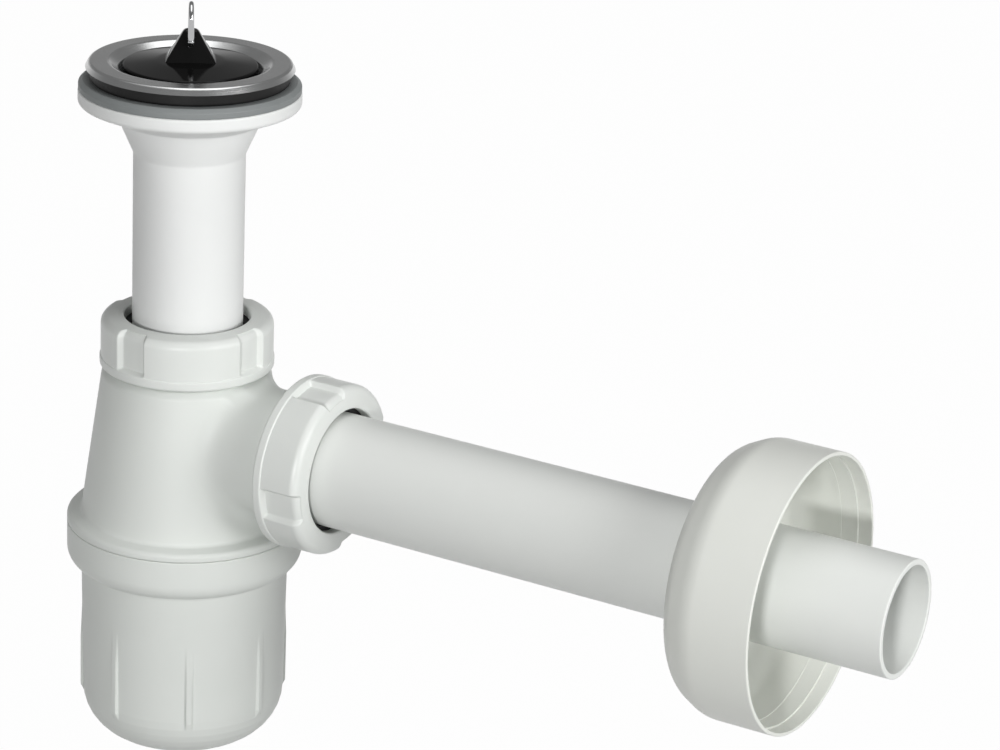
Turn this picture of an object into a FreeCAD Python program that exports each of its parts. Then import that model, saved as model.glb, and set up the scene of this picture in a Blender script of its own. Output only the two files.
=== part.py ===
import FreeCAD, Part
import math
import os

# Bottle trap for a wash basin, in millimetres, +Z up, +X along the outlet pipe towards the wall.
# The origin is on the waste's axis, in the plane where the basin's outlet is clamped:
# the black seal and the steel flange lie above it, the grey washer and all the rest below.

Vector = FreeCAD.Vector

# Clearances, used wherever two pieces meet
slide_gap = 0.06
turn_gap = 0.1
face_gap = 0.1
seat_gap = 0.3
loose_gap = 0.35

# Waste flange, pressed from stainless sheet
flange_r = 28.5
flange_sheet = 0.8
flange_top_z = 5.2
flange_edge_drop = 1.0
bevel_r = 22.3
dish_mouth_r = 19.6
dish_mouth_drop = 1.7
dish_seat_r = 17.5
dish_seat_z = -2.2
dish_floor_z = -4.0
strainer_holes = 6
strainer_hole_r = 3.4
strainer_pitch_r = 10.8

# Seal over the basin and washer under it
seal_r = 27.3
washer_r = 30.4
washer_thickness = 2.7
washer_edge = 0.9

# Tailpiece, moulded with the flared cup on top
tail_r = 15.4
tail_wall = 1.9
tail_end_z = -97.4
tail_flange_r = 30.5
tail_flange_edge = 3.6
tail_cone_top_r = 19.6
tail_cone_top_z = -10.9
tail_cone_end_z = -20.4
cup_mouth_depth = 5.0
hub_r = 5.6
hub_depth = 12.0
spokes = 3
spoke_width = 2.4
spoke_depth = 8.0

# Brass insert and the screw that pulls the flange down
screw_r = 2.9
screw_head_r = 5.2
screw_head_height = 2.0
screw_length = 11.0
screw_slot = 1.2
insert_wall = 0.9
insert_length = 8.0

# Rubber plug, its knob and the wire loop
plug_r = 18.4
plug_edge_z = 4.4
plug_lip = 1.5
plug_crown = 1.4
plug_crown_round = 20.0
plug_skirt_z = -1.0
plug_wall = 2.2
knob_width = 13.2
knob_depth = 8.0
knob_top_width = 4.2
knob_top_depth = 3.0
knob_height = 8.4
knob_round = 0.8
knob_turn = -55.0
loop_wire_r = 0.9
loop_pivot_height = 4.85
loop_height = 10.35
loop_half_width = 3.9
loop_pin_length = 2.2

# Trap body, on the vertical axis of the trap
outlet_drop = 102.4
thread_r = 20.95
neck_bore_r = 17.75
shoulder_z = 19.8
body_wall = 2.4
body_cone_top_r = 23.8
body_cone_flare = 5.6
ring_top_z = -24.4
ring_foot_z = -26.6
skirt_r = 30.85
skirt_length = 6.8
skirt_wall = 2.6
branch_r = 17.8
branch_fillet = 2.5
branch_neck_x = 38.0
socket_stop_x = 27.0
socket_bore_r = 14.0

# Compression nuts, the same piece at the inlet and at the outlet
nut_length = 14.5
nut_r = 24.4
nut_wall_r = 22.6
nut_lug_r = 24.1
nut_base = 2.6
nut_web = 3.0
nut_hole_r = 17.6
nut_lugs = 4
nut_lug_angle = 69.0
nut_round = 2.4
nut_lug_round = 1.2
nut_engagement = 7.6
inlet_nut_z = 20.4
outlet_nut_x = 38.3
inlet_nut_turn = -51.5
outlet_nut_turn = 56.5

# Rings and seals inside the nuts
slip_ring_thickness = 1.3
slip_ring_r = 20.2
seal_head_r = 19.8
wedge_depth = 3.4
wedge_thin = 0.35
wedge_seat_r = 18.7

# Dip tube, hung by its flange on the inlet neck
dip_r = 17.35
dip_wall = 1.6
dip_flange = 1.2
dip_end_z = -66.0

# Cup, screwed on the body's skirt
collar_depth = 8.3
collar_wall = 2.45
collar_foot_z = -39.1
collar_slope = 0.9
collar_round = 5.0
cup_step = 1.55
cup_foot_r = 28.8
cup_knuckle_z = -77.6
cup_knuckle_r = 14.3
cup_wall = 2.2
cup_ribs = 8
rib_r = 29.5
rib_width = 2.2
rib_end_z = -79.5
rib_turn = -52.0

# Outlet pipe and the rosette that covers the hole in the wall
pipe_r = 16.0
pipe_wall = 1.8
pipe_end_x = 221.6
spigot_r = 15.75
spigot_length = 44.0
pipe_chamfer = 0.5
rosette_r = 37.6
rosette_wall = 1.5
rosette_depth = 28.6
pipe_past_rosette = 26.4
rosette_front_r = 22.0
rosette_front_round = 8.0
rosette_shoulder_r = 33.4
rosette_shoulder_x = 2.2
rosette_side_x = 10.4
rosette_side_round = 10.0
rosette_lip = 0.5
rosette_lip_length = 4.0

# Sizes that follow from the ones above
axis_z = -outlet_drop
flange_under_z = flange_top_z - flange_sheet
dish_r = dish_mouth_r + flange_sheet
dish_under_z = dish_floor_z - flange_sheet
body_cone_foot_r = body_cone_top_r + body_cone_flare
cup_top_z = ring_foot_z - face_gap
ring_r = skirt_r + turn_gap + collar_wall
cup_top_r = skirt_r - cup_step
ledge_z = cup_top_z - collar_depth
pipe_start_x = socket_stop_x + seat_gap
inlet_neck_z = inlet_nut_z + nut_engagement
outlet_neck_x = outlet_nut_x + nut_engagement
plug_top_z = plug_edge_z + plug_crown
loop_pivot_z = plug_top_z + loop_pivot_height
rosette_rim_x = pipe_end_x - pipe_past_rosette
rosette_front_x = rosette_rim_x - rosette_depth


def outline(corners):
    """Closed wire in the XZ plane through (r, z) corners; a third value rounds that corner."""
    count = len(corners)
    places = [Vector(corner[0], 0, corner[1]) for corner in corners]
    rounds = [corner[2] if len(corner) > 2 else 0 for corner in corners]
    starts = []
    ends = []
    arcs = []
    for i in range(count):
        here = places[i]
        before = places[i - 1] - here
        after = places[(i + 1) % count] - here
        if rounds[i] == 0:
            starts.append(here)
            ends.append(here)
            arcs.append(None)
            continue
        half = before.getAngle(after) / 2
        share_before = 0.49 if rounds[i - 1] else 0.98
        share_after = 0.49 if rounds[(i + 1) % count] else 0.98
        reach = rounds[i] / math.tan(half)
        reach = min(reach, share_before * before.Length, share_after * after.Length)
        radius = reach * math.tan(half)
        start = here + before * (reach / before.Length)
        end = here + after * (reach / after.Length)
        inward = (start + end) * 0.5 - here
        middle = here + inward * ((radius / math.sin(half) - radius) / inward.Length)
        starts.append(start)
        ends.append(end)
        arcs.append(Part.Arc(start, middle, end).toShape())
    edges = []
    for i in range(count):
        if arcs[i]:
            edges.append(arcs[i])
        following = starts[(i + 1) % count]
        if ends[i].distanceToPoint(following) > 1e-6:
            edges.append(Part.LineSegment(ends[i], following).toShape())
    return Part.Wire(edges)


def lathe(corners, angle=360.0):
    """Solid turned about Z from the outline through the corners."""
    return Part.Face(outline(corners)).revolve(Vector(0, 0, 0), Vector(0, 0, 1), angle)


def tube(outer, inner, low, high):
    """Plain ring or pipe between two heights."""
    return lathe([(inner, low), (outer, low), (outer, high), (inner, high)])


def at_trap(shape):
    """The shape, lowered from the trap's own frame, whose origin is where both axes cross."""
    shape.translate(Vector(0, 0, axis_z))
    return shape


def along_outlet(shape):
    """The shape, made about Z, laid along the outlet axis."""
    shape.rotate(Vector(0, 0, 0), Vector(0, 1, 0), 90)
    return at_trap(shape)


def waste_flange():
    """Dished stainless flange with a tapered seat, a strainer floor and a hole for the screw."""
    top = flange_top_z
    mouth_z = top - dish_mouth_drop
    edge_z = top - flange_edge_drop - flange_sheet
    shape = lathe([
        (screw_r + turn_gap, dish_floor_z),
        (dish_seat_r, dish_floor_z, 1.2),
        (dish_seat_r, dish_seat_z, 1.0),
        (dish_mouth_r, mouth_z, 1.0),
        (bevel_r, top, 1.5),
        (flange_r - 1.0, top, 1.0),
        (flange_r, edge_z),
        (flange_r - flange_sheet, edge_z),
        (flange_r - flange_sheet - 1.0, flange_under_z, 0.4),
        (bevel_r + 0.3, flange_under_z, 0.9),
        (dish_r, mouth_z - flange_sheet, 1.4),
        (dish_seat_r + flange_sheet, dish_seat_z - 0.2, 1.0),
        (dish_seat_r + flange_sheet, dish_under_z, 1.6),
        (screw_r + turn_gap, dish_under_z),
    ])
    for i in range(strainer_holes):
        turn = math.radians(i * 360.0 / strainer_holes)
        place = Vector(strainer_pitch_r * math.cos(turn), strainer_pitch_r * math.sin(turn), dish_under_z - 1)
        shape = shape.cut(Part.makeCylinder(strainer_hole_r, flange_sheet + 2, place))
    return shape


def flange_seal():
    """Black sealing ring between the steel flange and the basin."""
    return lathe([
        (dish_r + loose_gap, 0),
        (seal_r, 0, 0.5),
        (seal_r, flange_under_z - flange_edge_drop - 0.1, 0.3),
        (seal_r - flange_edge_drop, flange_under_z, 0.3),
        (bevel_r + 1.0, flange_under_z),
        (dish_r + loose_gap, flange_under_z - dish_mouth_drop - 0.3),
    ])


def basin_washer():
    """Grey washer under the basin, with bevelled edges."""
    return lathe([
        (dish_r + loose_gap, 0),
        (washer_r - washer_edge, 0),
        (washer_r, -washer_edge),
        (washer_r, -washer_thickness),
        (dish_r + loose_gap, -washer_thickness),
    ])


def tail_outer():
    """Tailpiece without its bore."""
    return lathe([
        (0, -washer_thickness),
        (tail_flange_r, -washer_thickness, 0.5),
        (tail_flange_r, -washer_thickness - tail_flange_edge, 1.2),
        (tail_cone_top_r, tail_cone_top_z, 1.0),
        (tail_r, tail_cone_end_z, 2.0),
        (tail_r, tail_end_z, 0.6),
        (0, tail_end_z),
    ])


def tailpiece():
    """Flared cup and pipe in one moulding, with a hub for the screw on three spokes."""
    bore = tail_r - tail_wall
    floor_z = -washer_thickness - cup_mouth_depth
    hollow = lathe([
        (0, -washer_thickness + 1),
        (dish_r + loose_gap, -washer_thickness + 1),
        (dish_r + loose_gap, floor_z, 1.0),
        (tail_cone_top_r - tail_wall, tail_cone_top_z, 1.0),
        (bore, tail_cone_end_z, 2.0),
        (bore, tail_end_z - 1),
        (0, tail_end_z - 1),
    ])
    outer = tail_outer()
    hub_top = dish_under_z
    hub = lathe([(0, hub_top), (hub_r, hub_top, 0.4), (hub_r - 0.4, hub_top - hub_depth, 0.6),
                 (0, hub_top - hub_depth)])
    web = None
    for i in range(spokes):
        spoke = Part.makeBox(tail_flange_r, spoke_width, spoke_depth,
                             Vector(0, -spoke_width / 2, hub_top - 2 - spoke_depth))
        spoke.rotate(Vector(0, 0, 0), Vector(0, 0, 1), 90 + i * 360.0 / spokes)
        web = spoke if web is None else web.fuse(spoke)
    web = web.common(outer)
    bore_r = screw_r + slide_gap + insert_wall
    pocket = Part.makeCylinder(bore_r, insert_length, Vector(0, 0, hub_top - insert_length))
    clearance = Part.makeCylinder(screw_r + loose_gap, hub_depth, Vector(0, 0, hub_top - hub_depth + 1.5))
    return outer.cut(hollow).fuse(web).fuse(hub).cut(pocket).cut(clearance).removeSplitter()


def hub_insert():
    """Brass insert moulded into the hub."""
    inner = screw_r + slide_gap
    return tube(inner + insert_wall, inner, dish_under_z - insert_length, dish_under_z)


def centre_screw():
    """Stainless pan-head screw with a slot."""
    shape = lathe([
        (0, dish_floor_z - screw_length),
        (screw_r - 0.6, dish_floor_z - screw_length),
        (screw_r, dish_floor_z - screw_length + 0.6),
        (screw_r, dish_floor_z),
        (screw_head_r, dish_floor_z),
        (screw_head_r, dish_floor_z + screw_head_height, 0.8),
        (0, dish_floor_z + screw_head_height),
    ])
    slot = Part.makeBox(2 * screw_head_r + 2, screw_slot, 1.0,
                        Vector(-screw_head_r - 1, -screw_slot / 2, dish_floor_z + screw_head_height - 1.0))
    return shape.cut(slot)


def knob():
    """Four-sided knob, wide at its foot, rounded at its edges."""
    def section(width, depth, z):
        corners = [Vector(-width / 2, -depth / 2, z), Vector(width / 2, -depth / 2, z),
                   Vector(width / 2, depth / 2, z), Vector(-width / 2, depth / 2, z)]
        return Part.makePolygon(corners + corners[:1])
    foot = section(knob_width, knob_depth, plug_edge_z - 0.5)
    top = section(knob_top_width, knob_top_depth, plug_top_z + knob_height)
    solid = Part.makeLoft([foot, top], True, True)
    upper = [edge for edge in solid.Edges if edge.BoundBox.ZMax > plug_top_z + 1]
    solid = solid.makeFillet(knob_round, upper)
    solid.rotate(Vector(0, 0, 0), Vector(0, 0, 1), 90 + knob_turn)
    return solid


def plug():
    """Rubber plug: a lip over the seat, a tapered skirt that fits the dish and the knob on top."""
    taper = (dish_mouth_r - dish_seat_r) / (flange_top_z - dish_mouth_drop - dish_seat_z)

    def seat_r(z):
        return dish_seat_r + (z - dish_seat_z) * taper - seat_gap

    lip_z = plug_edge_z - plug_lip
    skirt_foot_r = seat_r(plug_skirt_z)
    disc = lathe([
        (0, plug_top_z),
        (plug_r * 0.5, plug_top_z - plug_crown * 0.25, plug_crown_round),
        (plug_r, plug_edge_z, 0.4),
        (plug_r, lip_z, 0.3),
        (plug_r - 0.3, lip_z),
        (skirt_foot_r, plug_skirt_z, 0.4),
        (skirt_foot_r - plug_wall, plug_skirt_z),
        (skirt_foot_r - plug_wall, lip_z - 1.0, 0.8),
        (0, lip_z - 1.0),
    ])
    shape = disc.fuse(knob())
    for side in (-1, 1):
        hole = Part.makeCylinder(loop_wire_r + turn_gap, knob_depth, Vector(0, 0, 0), Vector(0, side, 0))
        hole.translate(Vector(0, side * (loop_half_width - loop_pin_length - face_gap), loop_pivot_z))
        hole.rotate(Vector(0, 0, 0), Vector(0, 0, 1), 90 + knob_turn)
        shape = shape.cut(hole)
    return shape


def plug_loop():
    """Wire loop: two legs joined by a half circle, with feet that turn into the knob's holes."""
    side = loop_half_width
    crown_z = loop_pivot_z + loop_height - side
    foot_left = Vector(0, -side, loop_pivot_z)
    foot_right = Vector(0, side, loop_pivot_z)
    left = Vector(0, -side, crown_z)
    right = Vector(0, side, crown_z)
    route = Part.Wire([
        Part.LineSegment(foot_left, left).toShape(),
        Part.Arc(left, Vector(0, 0, crown_z + side), right).toShape(),
        Part.LineSegment(right, foot_right).toShape(),
    ])
    section = Part.Wire(Part.makeCircle(loop_wire_r, foot_left, Vector(0, 0, 1)))
    shape = route.makePipeShell([section], True, False)
    for foot in (foot_left, foot_right):
        pin = Part.makeCylinder(loop_wire_r, loop_pin_length, foot, Vector(0, -foot.y, 0))
        shape = shape.fuse(Part.makeSphere(loop_wire_r, foot)).fuse(pin)
    shape.rotate(Vector(0, 0, 0), Vector(0, 0, 1), 90 + knob_turn)
    return shape


def compression_nut(lug_turn):
    """Hand-tightened nut: a thin base ring, a recessed wall and wide lugs with rounded ends."""
    bore = thread_r + turn_gap
    web_z = nut_length - nut_web
    shape = lathe([
        (bore, 0),
        (nut_r, 0, 0.8),
        (nut_r, nut_base, 0.8),
        (nut_wall_r, nut_base + 0.6, 0.4),
        (nut_wall_r - 0.3, nut_length, nut_round),
        (nut_hole_r, nut_length, 0.6),
        (nut_hole_r, web_z),
        (bore, web_z),
    ])
    root = bore + turn_gap
    lug_top = nut_length - 0.6
    for i in range(nut_lugs):
        lug = lathe([
            (root, 0.8),
            (nut_lug_r - 0.1, 0.8),
            (nut_lug_r, nut_base),
            (nut_lug_r, lug_top, nut_round),
            (root, lug_top),
        ], nut_lug_angle)
        upright = [edge for edge in lug.Edges
                   if edge.BoundBox.ZLength > nut_length / 2 and edge.CenterOfMass.Length > nut_wall_r]
        lug = lug.makeFillet(nut_lug_round, upright)
        lug.rotate(Vector(0, 0, 0), Vector(0, 0, 1), lug_turn - nut_lug_angle / 2 + i * 360.0 / nut_lugs)
        shape = shape.fuse(lug)
    return shape.removeSplitter()


def inlet_nut():
    """Nut that squeezes the inlet seal on the tailpiece."""
    shape = compression_nut(inlet_nut_turn)
    shape.translate(Vector(0, 0, inlet_nut_z))
    return at_trap(shape)


def outlet_nut():
    """Nut that squeezes the outlet seal on the outlet pipe."""
    shape = compression_nut(outlet_nut_turn)
    shape.translate(Vector(0, 0, outlet_nut_x))
    return along_outlet(shape)


def slip_ring(inner, nut_start):
    """Hard flat ring between a nut and its seal."""
    top = nut_start + nut_length - nut_web - face_gap
    return tube(slip_ring_r, inner + loose_gap, top - slip_ring_thickness, top)


def wedge_seal(inner, neck, nut_start, seat_top_r, seat_foot_r):
    """Rubber ring with a cone that enters the neck and a flat head under the slip ring."""
    head_top = nut_start + nut_length - nut_web - slip_ring_thickness - 2 * face_gap
    bore = inner + slide_gap
    foot_r = max(seat_foot_r - face_gap - 0.1, bore + wedge_thin)
    return lathe([
        (bore, neck - wedge_depth + 0.5),
        (foot_r, neck - wedge_depth + 0.5),
        (seat_top_r - face_gap - 0.1, neck + face_gap),
        (seal_head_r, neck + face_gap),
        (seal_head_r, head_top),
        (bore, head_top),
    ])


def dip_tube():
    """Tube that carries the water down into the cup, with a flange and a conical mouth."""
    bore = dip_r - dip_wall
    top = inlet_neck_z + face_gap + dip_flange
    return at_trap(lathe([
        (bore, dip_end_z),
        (dip_r, dip_end_z, 0.4),
        (dip_r, inlet_neck_z + face_gap),
        (seal_head_r + 0.4, inlet_neck_z + face_gap),
        (seal_head_r + 0.4, top),
        (dip_r - 0.15, top),
        (bore, top - wedge_depth),
    ]))


def trap_body():
    """Body moulding: cone, ring, threaded skirt, inlet neck and side branch with its socket."""
    outer = lathe([
        (0, ring_foot_z),
        (ring_r, ring_foot_z, 0.4),
        (ring_r, ring_top_z, 1.6),
        (body_cone_foot_r, ring_top_z + 0.9, 1.2),
        (body_cone_top_r, shoulder_z - 2.0, 2.4),
        (body_cone_top_r - 1.6, shoulder_z, 2.0),
        (0, shoulder_z),
    ])
    outer.rotate(Vector(0, 0, 0), Vector(0, 0, 1), 180)
    branch = Part.makeCylinder(branch_r, branch_neck_x + 2, Vector(0, 0, 0), Vector(1, 0, 0))
    shell = outer.fuse(branch).removeSplitter()
    meeting = [edge for edge in shell.Edges if round_the_branch(edge)]
    shell = shell.makeFillet(branch_fillet, meeting)
    neck = tube(thread_r, neck_bore_r, shoulder_z - 1, inlet_neck_z)
    skirt_foot = ring_foot_z - skirt_length
    skirt = tube(skirt_r, skirt_r - skirt_wall, skirt_foot, ring_foot_z + 1)
    inner_foot = body_cone_foot_r - body_wall
    slope = (body_cone_foot_r - body_cone_top_r) / (shoulder_z - 2.0 - ring_top_z)
    hollow = lathe([
        (0, skirt_foot - 1),
        (skirt_r - skirt_wall, skirt_foot - 1),
        (skirt_r - skirt_wall, ring_top_z - 2, 1.5),
        (inner_foot - slope * 2, ring_top_z + 2, 1.0),
        (body_cone_top_r - body_wall, shoulder_z - body_wall - 1.5, 2.0),
        (neck_bore_r + 1.0, shoulder_z - body_wall),
        (neck_bore_r, shoulder_z - body_wall),
        (neck_bore_r, inlet_neck_z + 1),
        (0, inlet_neck_z + 1),
    ])
    end = outlet_neck_x
    spout = lathe([
        (branch_r - 1.4, branch_neck_x),
        (thread_r, branch_neck_x, 0.4),
        (thread_r, end),
        (branch_r - 1.4, end),
    ])
    socket_r = pipe_r + loose_gap
    socket = lathe([
        (0, dip_r + 1),
        (socket_bore_r, dip_r + 1),
        (socket_bore_r, socket_stop_x),
        (socket_r, socket_stop_x),
        (socket_r, end - wedge_depth),
        (wedge_seat_r, end),
        (wedge_seat_r, end + 1),
        (0, end + 1),
    ])
    for shape in (spout, socket):
        shape.rotate(Vector(0, 0, 0), Vector(0, 1, 0), 90)
    solid = shell.fuse(neck).fuse(skirt).fuse(spout).cut(hollow).cut(socket)
    return at_trap(solid.removeSplitter())


def round_the_branch(edge):
    """True for an edge where the branch leaves the cone."""
    for place in edge.discretize(5):
        if abs(math.hypot(place.y, place.z) - branch_r) > 0.01 or place.x > branch_neck_x + 1:
            return False
    return edge.BoundBox.YLength > branch_r / 2


def cup():
    """Cup moulding: collar over the skirt, drafted wall, rounded bottom and grip ribs."""
    bottom_z = cup_knuckle_z - cup_knuckle_r
    bore = skirt_r + turn_gap
    inner_top = cup_top_r - cup_wall
    shape = lathe([
        (bore, ledge_z),
        (bore, cup_top_z),
        (ring_r, cup_top_z, 0.3),
        (ring_r, collar_foot_z + collar_slope, collar_round),
        (cup_top_r + 0.2, collar_foot_z),
        (cup_top_r, collar_foot_z - 0.8),
        (cup_foot_r, cup_knuckle_z),
        (cup_foot_r, bottom_z, cup_knuckle_r),
        (0, bottom_z),
        (0, bottom_z + cup_wall),
        (cup_foot_r - cup_wall, bottom_z + cup_wall, cup_knuckle_r - cup_wall),
        (cup_foot_r - cup_wall, cup_knuckle_z),
        (inner_top, ledge_z - 2),
        (inner_top, ledge_z),
    ])
    sleeve = lathe([
        (cup_foot_r - cup_wall + 0.5, rib_end_z),
        (rib_r, rib_end_z, 1.1),
        (rib_r, collar_foot_z + 2),
        (cup_foot_r - cup_wall + 0.5, collar_foot_z + 2),
    ])
    for i in range(cup_ribs):
        rib = Part.makeBox(rib_r + 2, rib_width, collar_foot_z + 2 - rib_end_z,
                           Vector(0, -rib_width / 2, rib_end_z))
        rib.rotate(Vector(0, 0, 0), Vector(0, 0, 1), rib_turn + i * 360.0 / cup_ribs)
        shape = shape.fuse(rib.common(sleeve))
    return at_trap(shape)


def cup_seal():
    """Flat black ring between the skirt's end and the ledge in the cup."""
    skirt_foot = ring_foot_z - skirt_length
    return at_trap(tube(skirt_r - loose_gap, cup_top_r - cup_wall + 0.2, ledge_z + face_gap / 2,
                        skirt_foot - face_gap))


def outlet_pipe():
    """Straight pipe with a calibrated end that enters the drain in the wall."""
    bore = pipe_r - pipe_wall
    return along_outlet(lathe([
        (bore, pipe_start_x),
        (pipe_r, pipe_start_x, pipe_chamfer),
        (pipe_r, pipe_end_x - spigot_length),
        (spigot_r, pipe_end_x - spigot_length),
        (spigot_r, pipe_end_x, pipe_chamfer),
        (bore, pipe_end_x),
    ]))


def inset(line, wall):
    """The line of (r, z, round) corners moved to its left by a wall, with its rounds made smaller by it."""
    moved = []
    for i in range(len(line)):
        here = Vector(line[i][0], 0, line[i][1])
        before = here - Vector(line[i - 1][0], 0, line[i - 1][1]) if i > 0 else None
        after = Vector(line[i + 1][0], 0, line[i + 1][1]) - here if i + 1 < len(line) else None
        before = (before or after).normalize()
        after = (after or before).normalize()
        along = (before + after).normalize()
        reach = wall / along.dot(after)
        moved.append((here.x - along.z * reach, here.z + along.x * reach, max(line[i][2] - wall, 0)))
    return moved


def wall_rosette():
    """Deep dish with a round front and an even wall, open towards the wall, that slides on the pipe."""
    hole = pipe_r + slide_gap
    front = rosette_front_x
    rim = rosette_rim_x
    lip_r = rosette_r - rosette_wall + rosette_lip
    outside = [
        (hole, front, 0),
        (rosette_front_r, front, rosette_front_round),
        (rosette_shoulder_r, front + rosette_shoulder_x, rosette_front_round),
        (rosette_r, front + rosette_side_x, rosette_side_round),
        (rosette_r, rim - rosette_lip_length, 0),
    ]
    inside = inset(outside, rosette_wall)
    rim_corners = [(rosette_r, rim, 0.4), (lip_r, rim), (lip_r, rim - rosette_lip_length)]
    return along_outlet(lathe(outside[:-1] + rim_corners + inside[::-1]))


def inlet_seal():
    """Rubber wedge ring between the dip tube's mouth and the tailpiece."""
    neck = inlet_neck_z + face_gap + dip_flange
    return at_trap(wedge_seal(tail_r, neck, inlet_nut_z, dip_r - 0.15, dip_r - dip_wall))


def outlet_seal():
    """Rubber wedge ring between the branch's mouth and the outlet pipe."""
    return along_outlet(wedge_seal(pipe_r, outlet_neck_x, outlet_nut_x, wedge_seat_r, pipe_r + loose_gap))


pieces = {
    "waste_flange": waste_flange,
    "flange_seal": flange_seal,
    "basin_washer": basin_washer,
    "tailpiece": tailpiece,
    "hub_insert": hub_insert,
    "centre_screw": centre_screw,
    "plug": plug,
    "plug_loop": plug_loop,
    "inlet_nut": inlet_nut,
    "inlet_slip_ring": lambda: at_trap(slip_ring(tail_r, inlet_nut_z)),
    "inlet_seal": inlet_seal,
    "dip_tube": dip_tube,
    "trap_body": trap_body,
    "cup_seal": cup_seal,
    "cup": cup,
    "outlet_nut": outlet_nut,
    "outlet_slip_ring": lambda: along_outlet(slip_ring(pipe_r, outlet_nut_x)),
    "outlet_seal": outlet_seal,
    "outlet_pipe": outlet_pipe,
    "wall_rosette": wall_rosette,
}

os.makedirs("parts", exist_ok=True)
for node, make in pieces.items():
    shape = make()
    shape.exportStep("parts/" + node + ".step")
    print(node, "valid", shape.isValid(), "solids", len(shape.Solids), "volume", round(shape.Volume))
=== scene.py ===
import math

import bmesh
import bpy
import numpy as np
from mathutils import Matrix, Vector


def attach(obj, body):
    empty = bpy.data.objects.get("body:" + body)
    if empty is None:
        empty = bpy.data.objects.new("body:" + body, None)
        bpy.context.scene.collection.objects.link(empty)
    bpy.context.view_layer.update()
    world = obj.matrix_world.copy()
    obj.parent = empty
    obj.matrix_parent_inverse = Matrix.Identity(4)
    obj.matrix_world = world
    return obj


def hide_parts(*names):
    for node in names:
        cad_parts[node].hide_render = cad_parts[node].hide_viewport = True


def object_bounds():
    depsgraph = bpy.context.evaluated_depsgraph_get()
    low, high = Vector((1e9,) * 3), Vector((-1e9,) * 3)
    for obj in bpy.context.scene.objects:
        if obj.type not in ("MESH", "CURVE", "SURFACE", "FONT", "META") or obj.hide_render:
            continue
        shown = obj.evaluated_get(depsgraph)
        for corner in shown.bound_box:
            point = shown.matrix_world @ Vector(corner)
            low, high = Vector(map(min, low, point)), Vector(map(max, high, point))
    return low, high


# Basin trap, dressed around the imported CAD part. Sizes in the pieces are in millimetres, in the part's
# frame: z up out of the basin, x along the outlet pipe, origin at the basin's outlet. The trap's own two
# axes cross 102.4 mm below the origin.
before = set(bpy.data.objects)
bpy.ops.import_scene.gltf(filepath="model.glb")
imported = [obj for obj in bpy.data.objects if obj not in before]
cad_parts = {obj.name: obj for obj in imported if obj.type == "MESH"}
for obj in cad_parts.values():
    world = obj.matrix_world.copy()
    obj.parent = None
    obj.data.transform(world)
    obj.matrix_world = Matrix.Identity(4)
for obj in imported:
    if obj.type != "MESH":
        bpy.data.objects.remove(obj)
cad_low, cad_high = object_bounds()
TRAP_Z = -102.4


# Camera: a long lens that looks down by 20 degrees from the front, turned 29 degrees towards the wall's side, so
# that the outlet pipe comes forward to the right, as in the photo.
lens = bpy.data.cameras.new("camera")
lens.lens = 126
lens.sensor_width = 36
camera = bpy.data.objects.new("camera", lens)
camera.matrix_world = Matrix((
    (0.86413, -0.21023, 0.45725, 0.52494),
    (0.50146, 0.28269, -0.81770, -0.75894),
    (0.04264, 0.93589, 0.34970, 0.26117),
    (0.0, 0.0, 0.0, 1.0),
))
bpy.context.scene.collection.objects.link(camera)
bpy.context.scene.camera = camera
bpy.context.scene.view_settings.view_transform = "Standard"


def node_tree(material):
    """Gives the material's nodes, its links and its Principled shader."""
    material.use_nodes = True
    nodes = material.node_tree.nodes
    return nodes, material.node_tree.links, nodes["Principled BSDF"]


def add(nodes, kind, **values):
    """Adds a shader node; names that match an input set that input, the others set a property."""
    node = nodes.new(kind)
    for key, value in values.items():
        if key in node.inputs:
            node.inputs[key].default_value = value
        else:
            setattr(node, key, value)
    return node


# Light: a pale room. The camera and glass see a white world. A mirror sees it white at the horizon and
# overhead, with a grey band between, as in a studio; the part itself is lit by it at a lower level. A small
# key lamp stands low in front: it gives the rosette's shadow on the pipe. A wide softbox stands on the wall's
# side and lights the insides of rosette and pipe, and one hangs overhead.
world = bpy.data.worlds.new("room")
bpy.context.scene.world = world
world.use_nodes = True
nodes = world.node_tree.nodes
links = world.node_tree.links
path = nodes.new("ShaderNodeLightPath")
toward = nodes.new("ShaderNodeTexCoord")
parts = nodes.new("ShaderNodeSeparateXYZ")
links.new(toward.outputs["Generated"], parts.inputs["Vector"])
height = add(nodes, "ShaderNodeMapRange")
height.inputs["From Min"].default_value = -1.0
links.new(parts.outputs["Z"], height.inputs["Value"])
studio = nodes.new("ShaderNodeValToRGB")
studio.color_ramp.elements[0].position = 0.50
studio.color_ramp.elements[0].color = (1, 1, 1, 1)
studio.color_ramp.elements[1].position = 0.98
studio.color_ramp.elements[1].color = (1, 1, 1, 1)
for spot, grey in ((0.57, 0.5), (0.64, 0.27), (0.88, 0.27)):
    studio.color_ramp.elements.new(spot).color = (grey, grey, grey, 1)
links.new(height.outputs["Result"], studio.inputs["Fac"])
mirrored = add(nodes, "ShaderNodeMix", data_type="FLOAT")
mirrored.inputs["A"].default_value = 0.12
links.new(path.outputs["Is Glossy Ray"], mirrored.inputs["Factor"])
links.new(studio.outputs["Color"], mirrored.inputs["B"])
seen = add(nodes, "ShaderNodeMath", operation="ADD", use_clamp=True)
links.new(path.outputs["Is Camera Ray"], seen.inputs[0])
links.new(path.outputs["Is Transmission Ray"], seen.inputs[1])
level = add(nodes, "ShaderNodeMix", data_type="FLOAT")
level.inputs["B"].default_value = 1.0
links.new(mirrored.outputs["Result"], level.inputs["A"])
links.new(seen.outputs[0], level.inputs["Factor"])
nodes["Background"].inputs["Color"].default_value = (1, 1, 1, 1)
links.new(level.outputs["Result"], nodes["Background"].inputs["Strength"])


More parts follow.
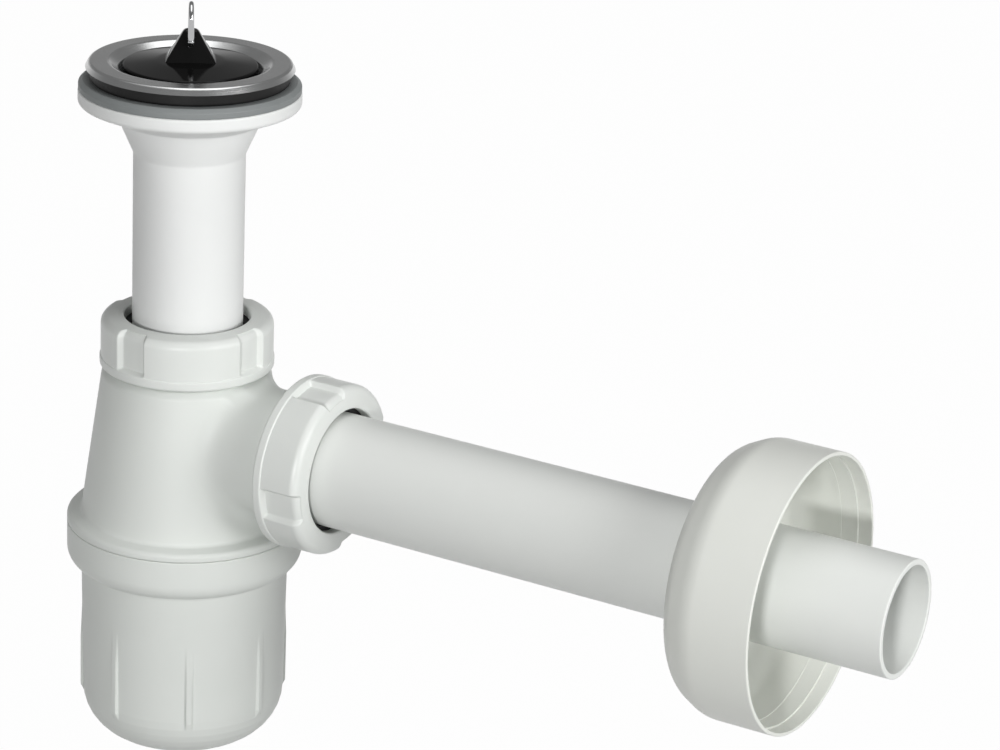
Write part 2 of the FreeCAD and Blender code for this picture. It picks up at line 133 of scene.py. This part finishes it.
def softbox(name, place, aim, width, height, power):
    """Rectangular area lamp at a place, turned towards the point aim, in metres and watts."""
    lamp = bpy.data.lights.new(name, "AREA")
    lamp.shape = "RECTANGLE"
    lamp.size = width
    lamp.size_y = height
    lamp.energy = power
    box = bpy.data.objects.new(name, lamp)
    ray = np.array(aim, float) - np.array(place, float)
    back = -ray / np.linalg.norm(ray)
    side = np.cross((0, 0, 1), back)
    side /= np.linalg.norm(side)
    top = np.cross(back, side)
    turn = np.array([side, top, back]).T
    box.matrix_world = Matrix([(*row, at) for row, at in zip(turn, place)] + [(0, 0, 0, 1)])
    bpy.context.scene.collection.objects.link(box)
    return box


softbox("key_lamp", (0.62, -1.52, 0.21), (0.10, 0, -0.09), 0.16, 0.16, 11.6)
softbox("wall_side_softbox", (1.25, -0.22, 0.34), (0.10, 0, -0.08), 0.8, 0.6, 9.5)
softbox("overhead_softbox", (0.14, 0.05, 0.92), (0.08, 0, -0.08), 0.9, 0.7, 3.2)

# Floor: a pale sheet, just below where the cup hangs with the trap let down and the cup unscrewed. It shows
# white and keeps a part of the shadow.
floor_mesh = bpy.data.meshes.new("floor")
floor_z = cad_low.z - 0.021
floor_mesh.from_pydata([(x, y, floor_z) for x, y in ((-8, -8), (8, -8), (8, 8), (-8, 8))], [], [(0, 1, 2, 3)])
floor = bpy.data.objects.new("floor", floor_mesh)
bpy.context.scene.collection.objects.link(floor)
floor_paint = bpy.data.materials.new("floor_paint")
nodes, links, shader = node_tree(floor_paint)
shader.inputs["Base Color"].default_value = (0.4, 0.4, 0.4, 1)
shader.inputs["Roughness"].default_value = 0.9
shader.inputs["Specular IOR Level"].default_value = 0.1
white = add(nodes, "ShaderNodeEmission", Strength=1.0)
path = nodes.new("ShaderNodeLightPath")
seen = add(nodes, "ShaderNodeMath", operation="ADD")
seen_too = add(nodes, "ShaderNodeMath", operation="ADD", use_clamp=True)
share = add(nodes, "ShaderNodeMath", operation="MULTIPLY")
share.inputs[1].default_value = 0.985
links.new(path.outputs["Is Camera Ray"], seen.inputs[0])
links.new(path.outputs["Is Transmission Ray"], seen.inputs[1])
links.new(seen.outputs[0], seen_too.inputs[0])
links.new(path.outputs["Is Glossy Ray"], seen_too.inputs[1])
links.new(seen_too.outputs[0], share.inputs[0])
mix = nodes.new("ShaderNodeMixShader")
links.new(share.outputs[0], mix.inputs["Fac"])
links.new(shader.outputs["BSDF"], mix.inputs[1])
links.new(white.outputs["Emission"], mix.inputs[2])
links.new(mix.outputs["Shader"], nodes["Material Output"].inputs["Surface"])
floor_mesh.materials.append(floor_paint)


def grained(name, low, high, scale, roughness, bump, stretch=(1, 1, 1), detail=4, **values):
    """Material whose colour and roughness wander between two values with a soft noise on the object's own
    coordinates, with a finer noise for the relief. Scale is in grains per metre, bump in metres."""
    material = bpy.data.materials.new(name)
    nodes, links, shader = node_tree(material)
    place = nodes.new("ShaderNodeTexCoord")
    turn = add(nodes, "ShaderNodeMapping", Scale=stretch)
    links.new(place.outputs["Object"], turn.inputs["Vector"])
    cloud = add(nodes, "ShaderNodeTexNoise", Scale=scale, Detail=detail)
    grain = add(nodes, "ShaderNodeTexNoise", Scale=scale * 14, Detail=2)
    for noise in (cloud, grain):
        links.new(turn.outputs["Vector"], noise.inputs["Vector"])
    colour = add(nodes, "ShaderNodeMix", data_type="RGBA")
    colour.inputs["A"].default_value = (*low, 1)
    colour.inputs["B"].default_value = (*high, 1)
    links.new(cloud.outputs["Fac"], colour.inputs["Factor"])
    links.new(colour.outputs["Result"], shader.inputs["Base Color"])
    gloss = add(nodes, "ShaderNodeMapRange")
    gloss.inputs["From Min"].default_value = 0.3
    gloss.inputs["From Max"].default_value = 0.7
    gloss.inputs["To Min"].default_value = roughness[0]
    gloss.inputs["To Max"].default_value = roughness[1]
    links.new(cloud.outputs["Fac"], gloss.inputs["Value"])
    links.new(gloss.outputs["Result"], shader.inputs["Roughness"])
    relief = add(nodes, "ShaderNodeBump", Strength=1.0, Distance=bump)
    links.new(grain.outputs["Fac"], relief.inputs["Height"])
    links.new(relief.outputs["Normal"], shader.inputs["Normal"])
    for key, value in values.items():
        shader.inputs[key.replace("_", " ")].default_value = value
    return material


def rounded(corners, closed=True, facets=9):
    """Outline through (r, z, round) corners: each round becomes a tangent arc of that radius, cut short where
    its neighbours need the room, and each long run gets a point near both ends, to keep its shading flat."""
    points = np.array([corner[:2] for corner in corners], float)
    radii = [corner[2] if len(corner) > 2 else 0.0 for corner in corners]
    count = len(corners)
    line = []
    for i in range(count):
        inner = closed or 0 < i < count - 1
        here = points[i]
        if not radii[i] or not inner:
            line.append(here)
            continue
        before = points[i - 1] - here
        after = points[(i + 1) % count] - here
        long_before, long_after = np.linalg.norm(before), np.linalg.norm(after)
        before, after = before / long_before, after / long_after
        half = math.acos(max(-1.0, min(1.0, float(before @ after)))) / 2
        share_before = 0.49 if radii[i - 1] else 0.98
        share_after = 0.49 if radii[(i + 1) % count] else 0.98
        reach = min(radii[i] / math.tan(half), share_before * long_before, share_after * long_after)
        radius = reach * math.tan(half)
        middle = here + (before + after) / np.linalg.norm(before + after) * radius / math.sin(half)
        first = here + before * reach - middle
        last = here + after * reach - middle
        span = math.atan2(first[0] * last[1] - first[1] * last[0], float(first @ last))
        for step in range(facets + 1):
            turn = span * step / facets
            line.append(middle + np.array([first[0] * math.cos(turn) - first[1] * math.sin(turn),
                                           first[0] * math.sin(turn) + first[1] * math.cos(turn)]))
    held = []
    for i, here in enumerate(line):
        held.append(here)
        if i == len(line) - 1 and not closed:
            break
        run = line[(i + 1) % len(line)] - here
        length = np.linalg.norm(run)
        if length > 1.5:
            held += [here + run * (0.3 / length), here + run * (1 - 0.3 / length)]
    return np.array(held)


def sheet_of(name, x, y, z, wrap_rows=False, wrap_columns=True, sharp=38):
    """Mesh of quads over three arrays of coordinates in millimetres, smooth but for creases over sharp degrees.
    Rows or columns that wrap join the last to the first, and points that fall together are merged."""
    rows, columns = x.shape
    index = np.arange(rows * columns).reshape(rows, columns)
    if wrap_rows:
        index = np.vstack([index, index[:1]])
    if wrap_columns:
        index = np.hstack([index, index[:, :1]])
    quads = np.stack([index[:-1, :-1], index[:-1, 1:], index[1:, 1:], index[1:, :-1]], -1).reshape(-1, 4)
    mesh = bpy.data.meshes.new(name)
    mesh.from_pydata((np.stack([x, y, z], -1).reshape(-1, 3) / 1000).tolist(), [], quads.tolist())
    clean = bmesh.new()
    clean.from_mesh(mesh)
    bmesh.ops.remove_doubles(clean, verts=clean.verts, dist=2e-6)
    bmesh.ops.recalc_face_normals(clean, faces=clean.faces)
    clean.to_mesh(mesh)
    clean.free()
    mesh.polygons.foreach_set("use_smooth", [True] * len(mesh.polygons))
    mesh.set_sharp_from_angle(angle=math.radians(sharp))
    piece = bpy.data.objects.new(name, mesh)
    bpy.context.scene.collection.objects.link(piece)
    return piece


def turned(name, line, laid=False, drop=0.0, angles=None, shape=None, closed=True, sharp=38):
    """Turns an outline of (r, z) points about the vertical axis, or about the outlet's axis where laid.
    shape changes (r, z) as a function of r, z and the angle, for lugs, ribs and threads."""
    if angles is None:
        angles = np.linspace(0, 2 * np.pi, 192, endpoint=False)
    r, turn = np.meshgrid(line[:, 0], angles, indexing="ij")
    z = np.repeat(line[:, 1][:, None], len(angles), 1)
    if shape:
        r, z = shape(r, z, turn)
    x, y = r * np.cos(turn), r * np.sin(turn)
    if laid:
        x, z = z, -x
    return sheet_of(name, x, y, z + drop, wrap_rows=closed, sharp=sharp)


def dressed(piece, material, body, slot, *nodes):
    """Gives the piece its material, and puts it on its body in place of the CAD nodes."""
    piece.data.materials.clear()
    piece.data.materials.append(material)
    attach(piece, body)
    if nodes:
        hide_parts(*nodes)
    return piece


def joined(name, pieces):
    """One object from several, under a new name."""
    bpy.ops.object.select_all(action="DESELECT")
    for piece in pieces:
        piece.select_set(True)
    bpy.context.view_layer.objects.active = pieces[0]
    bpy.ops.object.join()
    pieces[0].name = name
    pieces[0].data.name = name
    return pieces[0]


# Waste flange: dished disc of stainless sheet, pressed, with a rolled-down edge, a bevel into the tapered
# seat and a strainer floor. Fine turned grain runs round it. It is pulled down by the screw.
steel = bpy.data.materials.new("stainless_steel")
nodes, links, shader = node_tree(steel)
place = nodes.new("ShaderNodeTexCoord")
parts = nodes.new("ShaderNodeSeparateXYZ")
links.new(place.outputs["Object"], parts.inputs["Vector"])
out = nodes.new("ShaderNodeVectorMath")
out.operation = "LENGTH"
flat = add(nodes, "ShaderNodeCombineXYZ")
links.new(parts.outputs["X"], flat.inputs["X"])
links.new(parts.outputs["Y"], flat.inputs["Y"])
links.new(flat.outputs["Vector"], out.inputs[0])
rings = add(nodes, "ShaderNodeCombineXYZ")
links.new(out.outputs["Value"], rings.inputs["X"])
links.new(parts.outputs["Z"], rings.inputs["Y"])
scratches = add(nodes, "ShaderNodeTexNoise", Scale=5200.0, Detail=3.0)
links.new(rings.outputs["Vector"], scratches.inputs["Vector"])
blotches = add(nodes, "ShaderNodeTexNoise", Scale=90.0, Detail=3.0)
links.new(place.outputs["Object"], blotches.inputs["Vector"])
colour = add(nodes, "ShaderNodeMix", data_type="RGBA")
colour.inputs["A"].default_value = (0.45, 0.455, 0.455, 1)
colour.inputs["B"].default_value = (0.57, 0.575, 0.575, 1)
links.new(blotches.outputs["Fac"], colour.inputs["Factor"])
links.new(colour.outputs["Result"], shader.inputs["Base Color"])
gloss = add(nodes, "ShaderNodeMapRange")
gloss.inputs["To Min"].default_value = 0.16
gloss.inputs["To Max"].default_value = 0.32
links.new(scratches.outputs["Fac"], gloss.inputs["Value"])
links.new(gloss.outputs["Result"], shader.inputs["Roughness"])
relief = add(nodes, "ShaderNodeBump", Strength=0.5, Distance=0.00001)
links.new(scratches.outputs["Fac"], relief.inputs["Height"])
links.new(relief.outputs["Normal"], shader.inputs["Normal"])
shader.inputs["Metallic"].default_value = 1.0

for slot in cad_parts["waste_flange"].material_slots:
    slot.material = steel

# Seal over the basin: a black rubber ring, moulded, clamped between the flange and the basin.
rubber = grained("black_rubber", (0.006, 0.006, 0.006), (0.012, 0.012, 0.012), 220, (0.42, 0.6), 0.00003,
                 Specular_IOR_Level=0.2)
seal = turned("seal_ring", rounded([
    (20.75, 0), (27.3, 0, 0.7), (27.3, 3.3, 0.3), (26.3, 4.4, 0.3), (23.3, 4.4), (20.75, 2.4)]))
dressed(seal, rubber, "waste", "black_rubber", "flange_seal")

# Washer under the basin: mid-grey plastic, moulded, with a bevel round its upper edge. It lies on the
# tailpiece's rim.
grey = grained("grey_washer", (0.20, 0.215, 0.215), (0.235, 0.25, 0.25), 160, (0.45, 0.62), 0.00002)
washer = turned("washer_ring", rounded([
    (20.75, 0), (29.2, 0, 0.3), (30.4, -1.0, 0.5), (30.4, -2.7, 0.4), (20.75, -2.7)]))
dressed(washer, grey, "waste", "grey_washer", "basin_washer")

# Tailpiece: white polypropylene, one moulding: a thick rim, a flared cup, a cone and a straight pipe. The hub
# and its three spokes inside are the CAD node's own, under this skin.
white_plastic = grained("white_plastic", (0.82, 0.832, 0.822), (0.85, 0.86, 0.852), 60, (0.38, 0.5), 0.000012,
                        Specular_IOR_Level=0.3)
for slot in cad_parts["tailpiece"].material_slots:
    slot.material = white_plastic
tail = turned("tail_skin", rounded([
    (20.75, -2.71), (30.52, -2.71, 0.6), (30.52, -6.3, 1.3), (19.62, -10.9, 1.4), (15.42, -20.4, 2.4),
    (15.42, -97.42, 0.7), (13.6, -97.42), (13.48, -96.8), (13.48, -20.4, 2.0), (17.68, -10.9, 1.0), (20.73, -7.7)]))
dressed(tail, white_plastic, "waste", "white_plastic")

# Insert and screw: a turned brass insert in the hub, and a stainless screw whose head shows in the strainer
# when the plug is up.
brass = grained("brass", (0.62, 0.44, 0.17), (0.72, 0.55, 0.26), 300, (0.25, 0.4), 0.00001, Metallic=1.0)
screw_steel = grained("screw_steel", (0.5, 0.5, 0.5), (0.62, 0.62, 0.61), 400, (0.22, 0.4), 0.00001, Metallic=1.0)
for node, material in (("hub_insert", brass), ("centre_screw", screw_steel)):
    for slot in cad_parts[node].material_slots:
        slot.material = material

# Plug: glossy black rubber, moulded: a low crowned lid with a thin lip over the seat and a hollow skirt below,
# and a four-sided knob with rounded edges and a flared foot, turned with the loop that it carries.
KNOB_TURN = math.radians(35)
plug_rubber = grained("plug_rubber", (0.004, 0.004, 0.004), (0.008, 0.008, 0.008), 120, (0.04, 0.1), 0.000003,
                      Specular_IOR_Level=0.13)
lid = turned("plug_lid", rounded([
    (0, 5.8), (9.2, 5.45, 20), (18.4, 4.4, 0.5), (18.4, 2.9, 0.3), (18.1, 2.9), (17.6, -1.0, 0.4),
    (15.4, -1.0), (15.9, 1.9, 0.8), (0, 1.9)], closed=False), closed=False)
courses = ((7.7, 4.5, 3.9), (6.3, 3.7, 6.6), (4.1, 2.7, 10.2), (1.8, 1.4, 14.2))
corners = [(sx * half_width / 1000, sy * half_depth / 1000, z / 1000) for half_width, half_depth, z in courses
           for sx, sy in ((-1, -1), (1, -1), (1, 1), (-1, 1))]
sides = [(4 * row + i, 4 * row + (i + 1) % 4, 4 * row + 4 + (i + 1) % 4, 4 * row + 4 + i)
         for row in range(len(courses) - 1) for i in range(4)]
knob_mesh = bpy.data.meshes.new("knob")
knob_mesh.from_pydata(corners, [], sides + [(0, 3, 2, 1), (12, 13, 14, 15)])
shaping = bmesh.new()
shaping.from_mesh(knob_mesh)
edges = [edge for edge in shaping.edges if abs(edge.verts[0].co.z - edge.verts[1].co.z) > 0.001
         or min(corner.co.z for corner in edge.verts) > 0.014]
bmesh.ops.bevel(shaping, geom=edges, offset=0.0009, offset_type="OFFSET", segments=6, profile=0.5,
                affect="EDGES")
bmesh.ops.rotate(shaping, verts=shaping.verts, cent=(0, 0, 0), matrix=Matrix.Rotation(KNOB_TURN, 3, "Z"))
shaping.to_mesh(knob_mesh)
shaping.free()
knob_mesh.polygons.foreach_set("use_smooth", [True] * len(knob_mesh.polygons))
knob_mesh.set_sharp_from_angle(angle=math.radians(40))
knob = bpy.data.objects.new("plug_knob", knob_mesh)
bpy.context.scene.collection.objects.link(knob)
plug = joined("plug_with_knob", [lid, knob])
dressed(plug, plug_rubber, "plug", "plug_rubber", "plug")

# Loop: chromed wire bent to a tall eye, with its feet turned into the knob's two holes. It takes the chain.
chrome = grained("chrome_wire", (0.42, 0.425, 0.43), (0.5, 0.505, 0.51), 500, (0.05, 0.12), 0.000004,
                 Metallic=1.0)


def wire_loop():
    """Tube along the loop's line: from a foot up one leg, over a half circle and down the other leg.
    A circle of the wire's radius follows the line; its radius falls by a fifth towards the crown."""
    half, pivot, crown, wire = 3.9, 10.65, 17.1, 0.9
    line = [(-1.7, pivot), (-3.0, pivot)]
    line += [(-3.0 - 0.9 * math.sin(a), pivot + 0.9 - 0.9 * math.cos(a)) for a in np.linspace(0.3, np.pi / 2, 5)]
    line += [(-half, z) for z in np.linspace(pivot + 1.6, crown, 8)]
    line += [(-half * math.cos(a), crown + half * math.sin(a)) for a in np.linspace(0.15, np.pi / 2, 10)]
    line = np.array(line + [(-s, z) for s, z in reversed(line[:-1])])
    ahead = np.gradient(line, axis=0)
    ahead /= np.linalg.norm(ahead, axis=1)[:, None]
    radius = wire * (1 - 0.2 * np.clip((line[:, 1] - pivot) / (crown + half - pivot), 0, 1))
    turn = np.linspace(0, 2 * np.pi, 20, endpoint=False)
    across = line[:, :1] - ahead[:, 1:] * radius[:, None] * np.cos(turn)
    up = line[:, 1:] + ahead[:, :1] * radius[:, None] * np.cos(turn)
    out = radius[:, None] * np.sin(turn)
    return sheet_of("wire_loop", out * math.cos(KNOB_TURN) - across * math.sin(KNOB_TURN),
                    out * math.sin(KNOB_TURN) + across * math.cos(KNOB_TURN), up)


dressed(wire_loop(), chrome, "loop", "chrome_wire", "plug_loop")


# Compression nuts: white polypropylene, moulded: a continuous base ring and four wide lugs with rounded ends
# and narrow recesses between them. The top turns in to a web round the pipe.
nut_plastic = grained("nut_plastic", (0.745, 0.772, 0.742), (0.785, 0.805, 0.78), 80, (0.3, 0.4), 0.00001,
                      Specular_IOR_Level=0.35)
LUG_HALF = math.radians(34.5)


def lugs(turn, start):
    """Takes the nut's outer wall in by 1.5 mm between the lugs, from just above the base ring to the top. The
    depth runs up along a smooth step 1.3 mm wide at each lug's end and 0.8 mm high above the base ring."""
    def shape(r, z, angle):
        off = np.abs((angle - turn + np.pi / 4) % (np.pi / 2) - np.pi / 4)
        recess = np.clip((off - LUG_HALF) * 24.1 / 1.3 + 0.5, 0, 1)
        above = np.clip((z - start - 2.7) / 0.8, 0, 1)
        outside = np.clip((r - 21.4) / 1.2, 0, 1)
        recess, above = (share * share * (3 - 2 * share) for share in (recess, above))
        return r - 1.5 * recess * above * outside, z
    return shape


def compression_nut(name, turn, start, laid):
    """Turned wall of a nut that begins at start along its axis, close in angle where a lug begins or ends."""
    turn = math.radians(turn)
    line = rounded([
        (21.05, 0), (24.4, 0, 0.8), (24.4, 2.6, 0.5), (24.1, 2.8), (24.1, 3.0), (24.1, 3.2), (24.1, 3.5),
        (24.1, 13.9, 2.4), (19.4, 14.5, 2.0), (17.6, 14.5, 0.6), (17.6, 11.5), (21.05, 11.5)])
    line[:, 1] += start
    ends = [turn + i * np.pi / 2 + side * LUG_HALF + step for i in range(4) for side in (-1, 1)
            for step in np.linspace(-0.04, 0.04, 13)]
    angles = np.concatenate([np.linspace(0, 2 * np.pi, 144, endpoint=False), np.mod(ends, 2 * np.pi)])
    return turned(name, line, laid=laid, drop=TRAP_Z, angles=np.unique(np.round(angles, 5)),
                  shape=lugs(turn, start))


dressed(compression_nut("nut_at_inlet", -51.5, 20.4, False), nut_plastic,
        "inlet_nut", "nut_plastic", "inlet_nut")
dressed(compression_nut("nut_at_outlet", 56.5, 38.3, True), nut_plastic,
        "outlet_nut", "nut_plastic", "outlet_nut")

# Rings and seals in the nuts: hard black slip rings and black rubber wedges, moulded. They show as the dark
# gap round the pipes. The dip tube hangs on the inlet neck, out of sight.
black_plastic = grained("black_plastic", (0.008, 0.008, 0.008), (0.014, 0.014, 0.014), 200, (0.4, 0.55), 0.00001,
                        Specular_IOR_Level=0.2)
for node, material in (("inlet_slip_ring", black_plastic), ("outlet_slip_ring", black_plastic),
                       ("inlet_seal", rubber), ("outlet_seal", rubber), ("cup_seal", rubber),
                       ("dip_tube", white_plastic)):
    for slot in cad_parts[node].material_slots:
        slot.material = material

# Trap body: white polypropylene, one moulding: rounded shoulder, cone, ring with a round top edge, threaded
# skirt for the cup, threaded necks, and a side branch that flows out of the cone.
body_plastic = grained("body_plastic", (0.725, 0.753, 0.72), (0.765, 0.79, 0.76), 45, (0.36, 0.48), 0.000014,
                       Specular_IOR_Level=0.3)
PITCH = 2.309


def threaded(low, high, depth, pitch):
    """Cuts a screw thread between two heights: the wall goes in and out once per pitch along the axis, and
    its phase runs with the angle, so the crest climbs one pitch a turn. It fades out at both ends."""
    def shape(r, z, angle):
        wave = np.abs(((z / pitch - angle / (2 * np.pi)) % 1) - 0.5) * 2
        groove = np.clip((wave - 0.25) / 0.5, 0, 1)
        ends = np.clip((z - low) / 0.8, 0, 1) * np.clip((high - z) / 0.8, 0, 1)
        outside = (z > low) & (z < high) & (r > r.max() - 6)
        return np.where(outside, r - depth * groove * ends, r), z
    return shape


shell_line = rounded([
    (20.0, -26.6), (33.4, -26.6, 0.4), (33.4, -24.4, 1.2), (29.4, -23.5, 1.2), (23.8, 17.8, 2.4),
    (22.2, 19.8, 2.0), (17.75, 19.8)], closed=False)
shell = turned("shell", shell_line, drop=TRAP_Z, closed=False)


def outside_shell(x, y, z):
    """Signed distance in millimetres from points to the turned shell, negative inside it."""
    place = np.stack([np.hypot(x, y), z], -1)[:, None, :]
    start = shell_line[None, :-1]
    run = shell_line[None, 1:] - start
    share = np.clip(((place - start) * run).sum(-1) / np.maximum((run * run).sum(-1), 1e-12), 0, 1)
    gap = place - start - share[..., None] * run
    far = np.linalg.norm(gap, axis=-1)
    nearest = far.argmin(1)
    rows = np.arange(len(far))
    side = run[0, nearest, 0] * gap[rows, nearest, 1] - run[0, nearest, 1] * gap[rows, nearest, 0]
    return far[rows, nearest] * -np.sign(side)


def branch_flare(radius, reach, end):
    """Blend from the cone to the branch. In each half plane through the branch's axis a cubic curve leaves the
    shell along the shell's own tangent, reach beyond the line where the branch meets it, and arrives along
    the branch, so both joints are smooth."""
    around, steps = 192, 24
    angles = np.linspace(0, 2 * np.pi, around, endpoint=False)
    side, up = np.sin(angles), np.cos(angles)

    def value(x, rho):
        return outside_shell(x, rho * side, rho * up)

    near, far = np.full(around, 5.0), np.full(around, 36.0)
    for _ in range(40):
        middle = (near + far) / 2
        within = value(middle, np.full(around, radius)) < 0
        near, far = np.where(within, middle, near), np.where(within, far, middle)
    meet = (near + far) / 2
    x, rho = meet.copy(), np.full(around, radius)
    for _ in range(steps):
        gx = value(x + 0.05, rho) - value(x - 0.05, rho)
        gr = value(x, rho + 0.05) - value(x, rho - 0.05)
        size = np.maximum(np.hypot(gx, gr), 1e-9)
        gx, gr = gx / size, gr / size
        x, rho = x - gr * reach / steps, rho + gx * reach / steps
        miss = value(x, rho)
        x, rho = x - gx * miss * 0.9, rho - gr * miss * 0.9
    handle = reach * 0.75
    finish = meet + reach * 1.1
    t = np.linspace(0, 1, 15)[:, None]
    start_share, out_share = (1 - t) ** 3, 3 * (1 - t) ** 2 * t
    in_share, end_share = 3 * (1 - t) * t ** 2, t ** 3
    bx = start_share * x + out_share * (x + gr * handle) + in_share * (finish - handle) + end_share * finish
    br = start_share * rho + out_share * (rho - gx * handle) + in_share * radius + end_share * radius
    rows_x = np.vstack([bx, np.full((1, around), end)])
    rows_r = np.vstack([br, np.full((1, around), radius)])
    return sheet_of("flare", rows_x, rows_r * side, rows_r * up + TRAP_Z)


flare = branch_flare(17.8, 4.5, 38.2)
neck_line = [(17.75, 19.5), (20.0, 19.5)] + [(20.95, z) for z in np.arange(19.7, 27.9, 0.25)] + [
    (20.6, 28.0), (17.75, 28.0)]
neck = turned("neck", np.array(neck_line), drop=TRAP_Z, shape=threaded(20.6, 27.6, 1.0, PITCH), sharp=60)
spout_line = [(16.4, 38.0)] + [(20.95, x) for x in np.arange(38.0, 45.8, 0.25)] + [
    (20.6, 45.9), (18.7, 45.9), (16.35, 42.5), (16.35, 27.0), (16.0, 27.0)]
spout = turned("spout", np.array(spout_line), laid=True, drop=TRAP_Z, shape=threaded(38.8, 45.5, 1.0, PITCH),
               sharp=60)
skirt_line = [(28.25, -25.9), (30.85, -26.7)] + [(30.85, z) for z in np.arange(-27.0, -33.2, -0.25)] + [
    (30.4, -33.4), (28.25, -33.4)]
skirt = turned("skirt", np.array(skirt_line), drop=TRAP_Z, shape=threaded(-33.1, -27.5, 1.1, 4.0), sharp=60)
body = joined("body_shell", [shell, flare, neck, spout, skirt])
dressed(body, body_plastic, "trap", "body_plastic", "trap_body")


# Cup: white polypropylene, moulded: a collar with a round lower edge, a drafted wall and a dome-edged bottom.
# Eight narrow grip ribs grow out of the wall and end round above the bottom. It is screwed on the skirt.
RIB_TURN, RIB_END = math.radians(-52), -79.6


def cup_ribs(r, z, angle):
    """Raises the drafted wall to a radius of 29.55 mm along eight lines. A rib's face is 1.3 mm wide with soft
    sides. It comes out of the wall over 10 mm, and its lower end is a half round."""
    off = ((angle - RIB_TURN + np.pi / 8) % (np.pi / 4) - np.pi / 8) * 29.0
    below = np.clip(RIB_END + 1.2 - z, 0, None)
    across = np.clip((1.35 - np.hypot(off, below)) / 0.7, 0, 1)
    across = across * across * (3 - 2 * across)
    rise = np.clip((-53.0 - z) / 10.0, 0, 1)
    lift = np.clip(29.55 - r, 0, 1.3) * across * rise
    outer = (r > 26.9) & (z < -42.0) & (z > RIB_END - 2)
    return np.where(outer, r + lift, r), z


outside = rounded([
    (30.95, -35.0), (30.95, -26.7), (33.4, -26.7, 0.35), (33.4, -38.2, 5.0), (29.5, -39.1), (29.3, -39.9, 0.6),
    (28.8, -77.6), (28.8, -91.9, 14.3), (0, -91.9)], closed=False)
wall = [(np.interp(z, (-77.6, -39.9), (28.8, 29.3)), z) for z in np.linspace(-42, -76, 40)]
wall += [(28.8, -77.0), (28.8, -77.3)]
inside = rounded([(0, -89.7), (26.6, -89.7, 12.1), (26.6, -77.6), (27.1, -37.0), (27.1, -35.0), (30.95, -35.0)],
                 closed=False)
cup_line = [point for point in outside if point[1] > -41.6] + wall
cup_line += [point for point in outside if point[1] <= -77.6] + list(inside)
close = [RIB_TURN + i * np.pi / 4 + np.linspace(-0.055, 0.055, 19) for i in range(8)]
cup_angles = np.concatenate([np.linspace(0, 2 * np.pi, 160, endpoint=False)] + close)
cup = turned("cup_with_ribs", np.array(cup_line), drop=TRAP_Z,
             angles=np.unique(np.round(np.mod(cup_angles, 2 * np.pi), 5)), shape=cup_ribs, closed=False)
dressed(cup, body_plastic, "cup", "body_plastic", "cup")

# Outlet pipe: white pipe, extruded, so its faint streaks run along it; cut square, with a fine chamfer and a
# slightly narrower end for the drain's socket.
pipe_plastic = grained("pipe_plastic", (0.78, 0.80, 0.775), (0.815, 0.832, 0.805), 70, (0.36, 0.48), 0.00001,
                       stretch=(0.12, 1, 1), Specular_IOR_Level=0.3)
pipe = turned("pipe_tube", rounded([
    (14.2, 27.3), (16.0, 27.3, 0.5), (16.0, 169.0), (15.75, 178.0), (15.75, 221.6, 0.35), (14.2, 221.6, 0.25)]),
    laid=True, drop=TRAP_Z)
dressed(pipe, pipe_plastic, "pipe", "pipe_plastic", "outlet_pipe")

# Wall rosette: white polypropylene, moulded: a deep dish with a full round front and a thin wall, open towards
# the wall, with two faint steps inside near the lip. It slides on the pipe.
rosette_plastic = grained("rosette_plastic", (0.775, 0.79, 0.742), (0.805, 0.82, 0.778), 50, (0.34, 0.46), 0.000012,
                          Specular_IOR_Level=0.3)
rosette = turned("rosette_dish", rounded([
    (16.06, 166.6), (22.0, 166.6, 8.0), (33.4, 168.8, 8.0), (37.6, 177.0, 10.0), (37.6, 195.2, 0.35),
    (36.6, 195.2, 0.25), (36.6, 191.2), (36.1, 191.2), (36.1, 186.5), (35.9, 186.5), (36.1, 177.4, 8.5),
    (32.4, 170.1, 6.5), (21.9, 168.1, 6.5), (16.06, 168.1)], facets=14), laid=True, drop=TRAP_Z)
dressed(rosette, rosette_plastic, "rosette", "rosette_plastic", "wall_rosette")
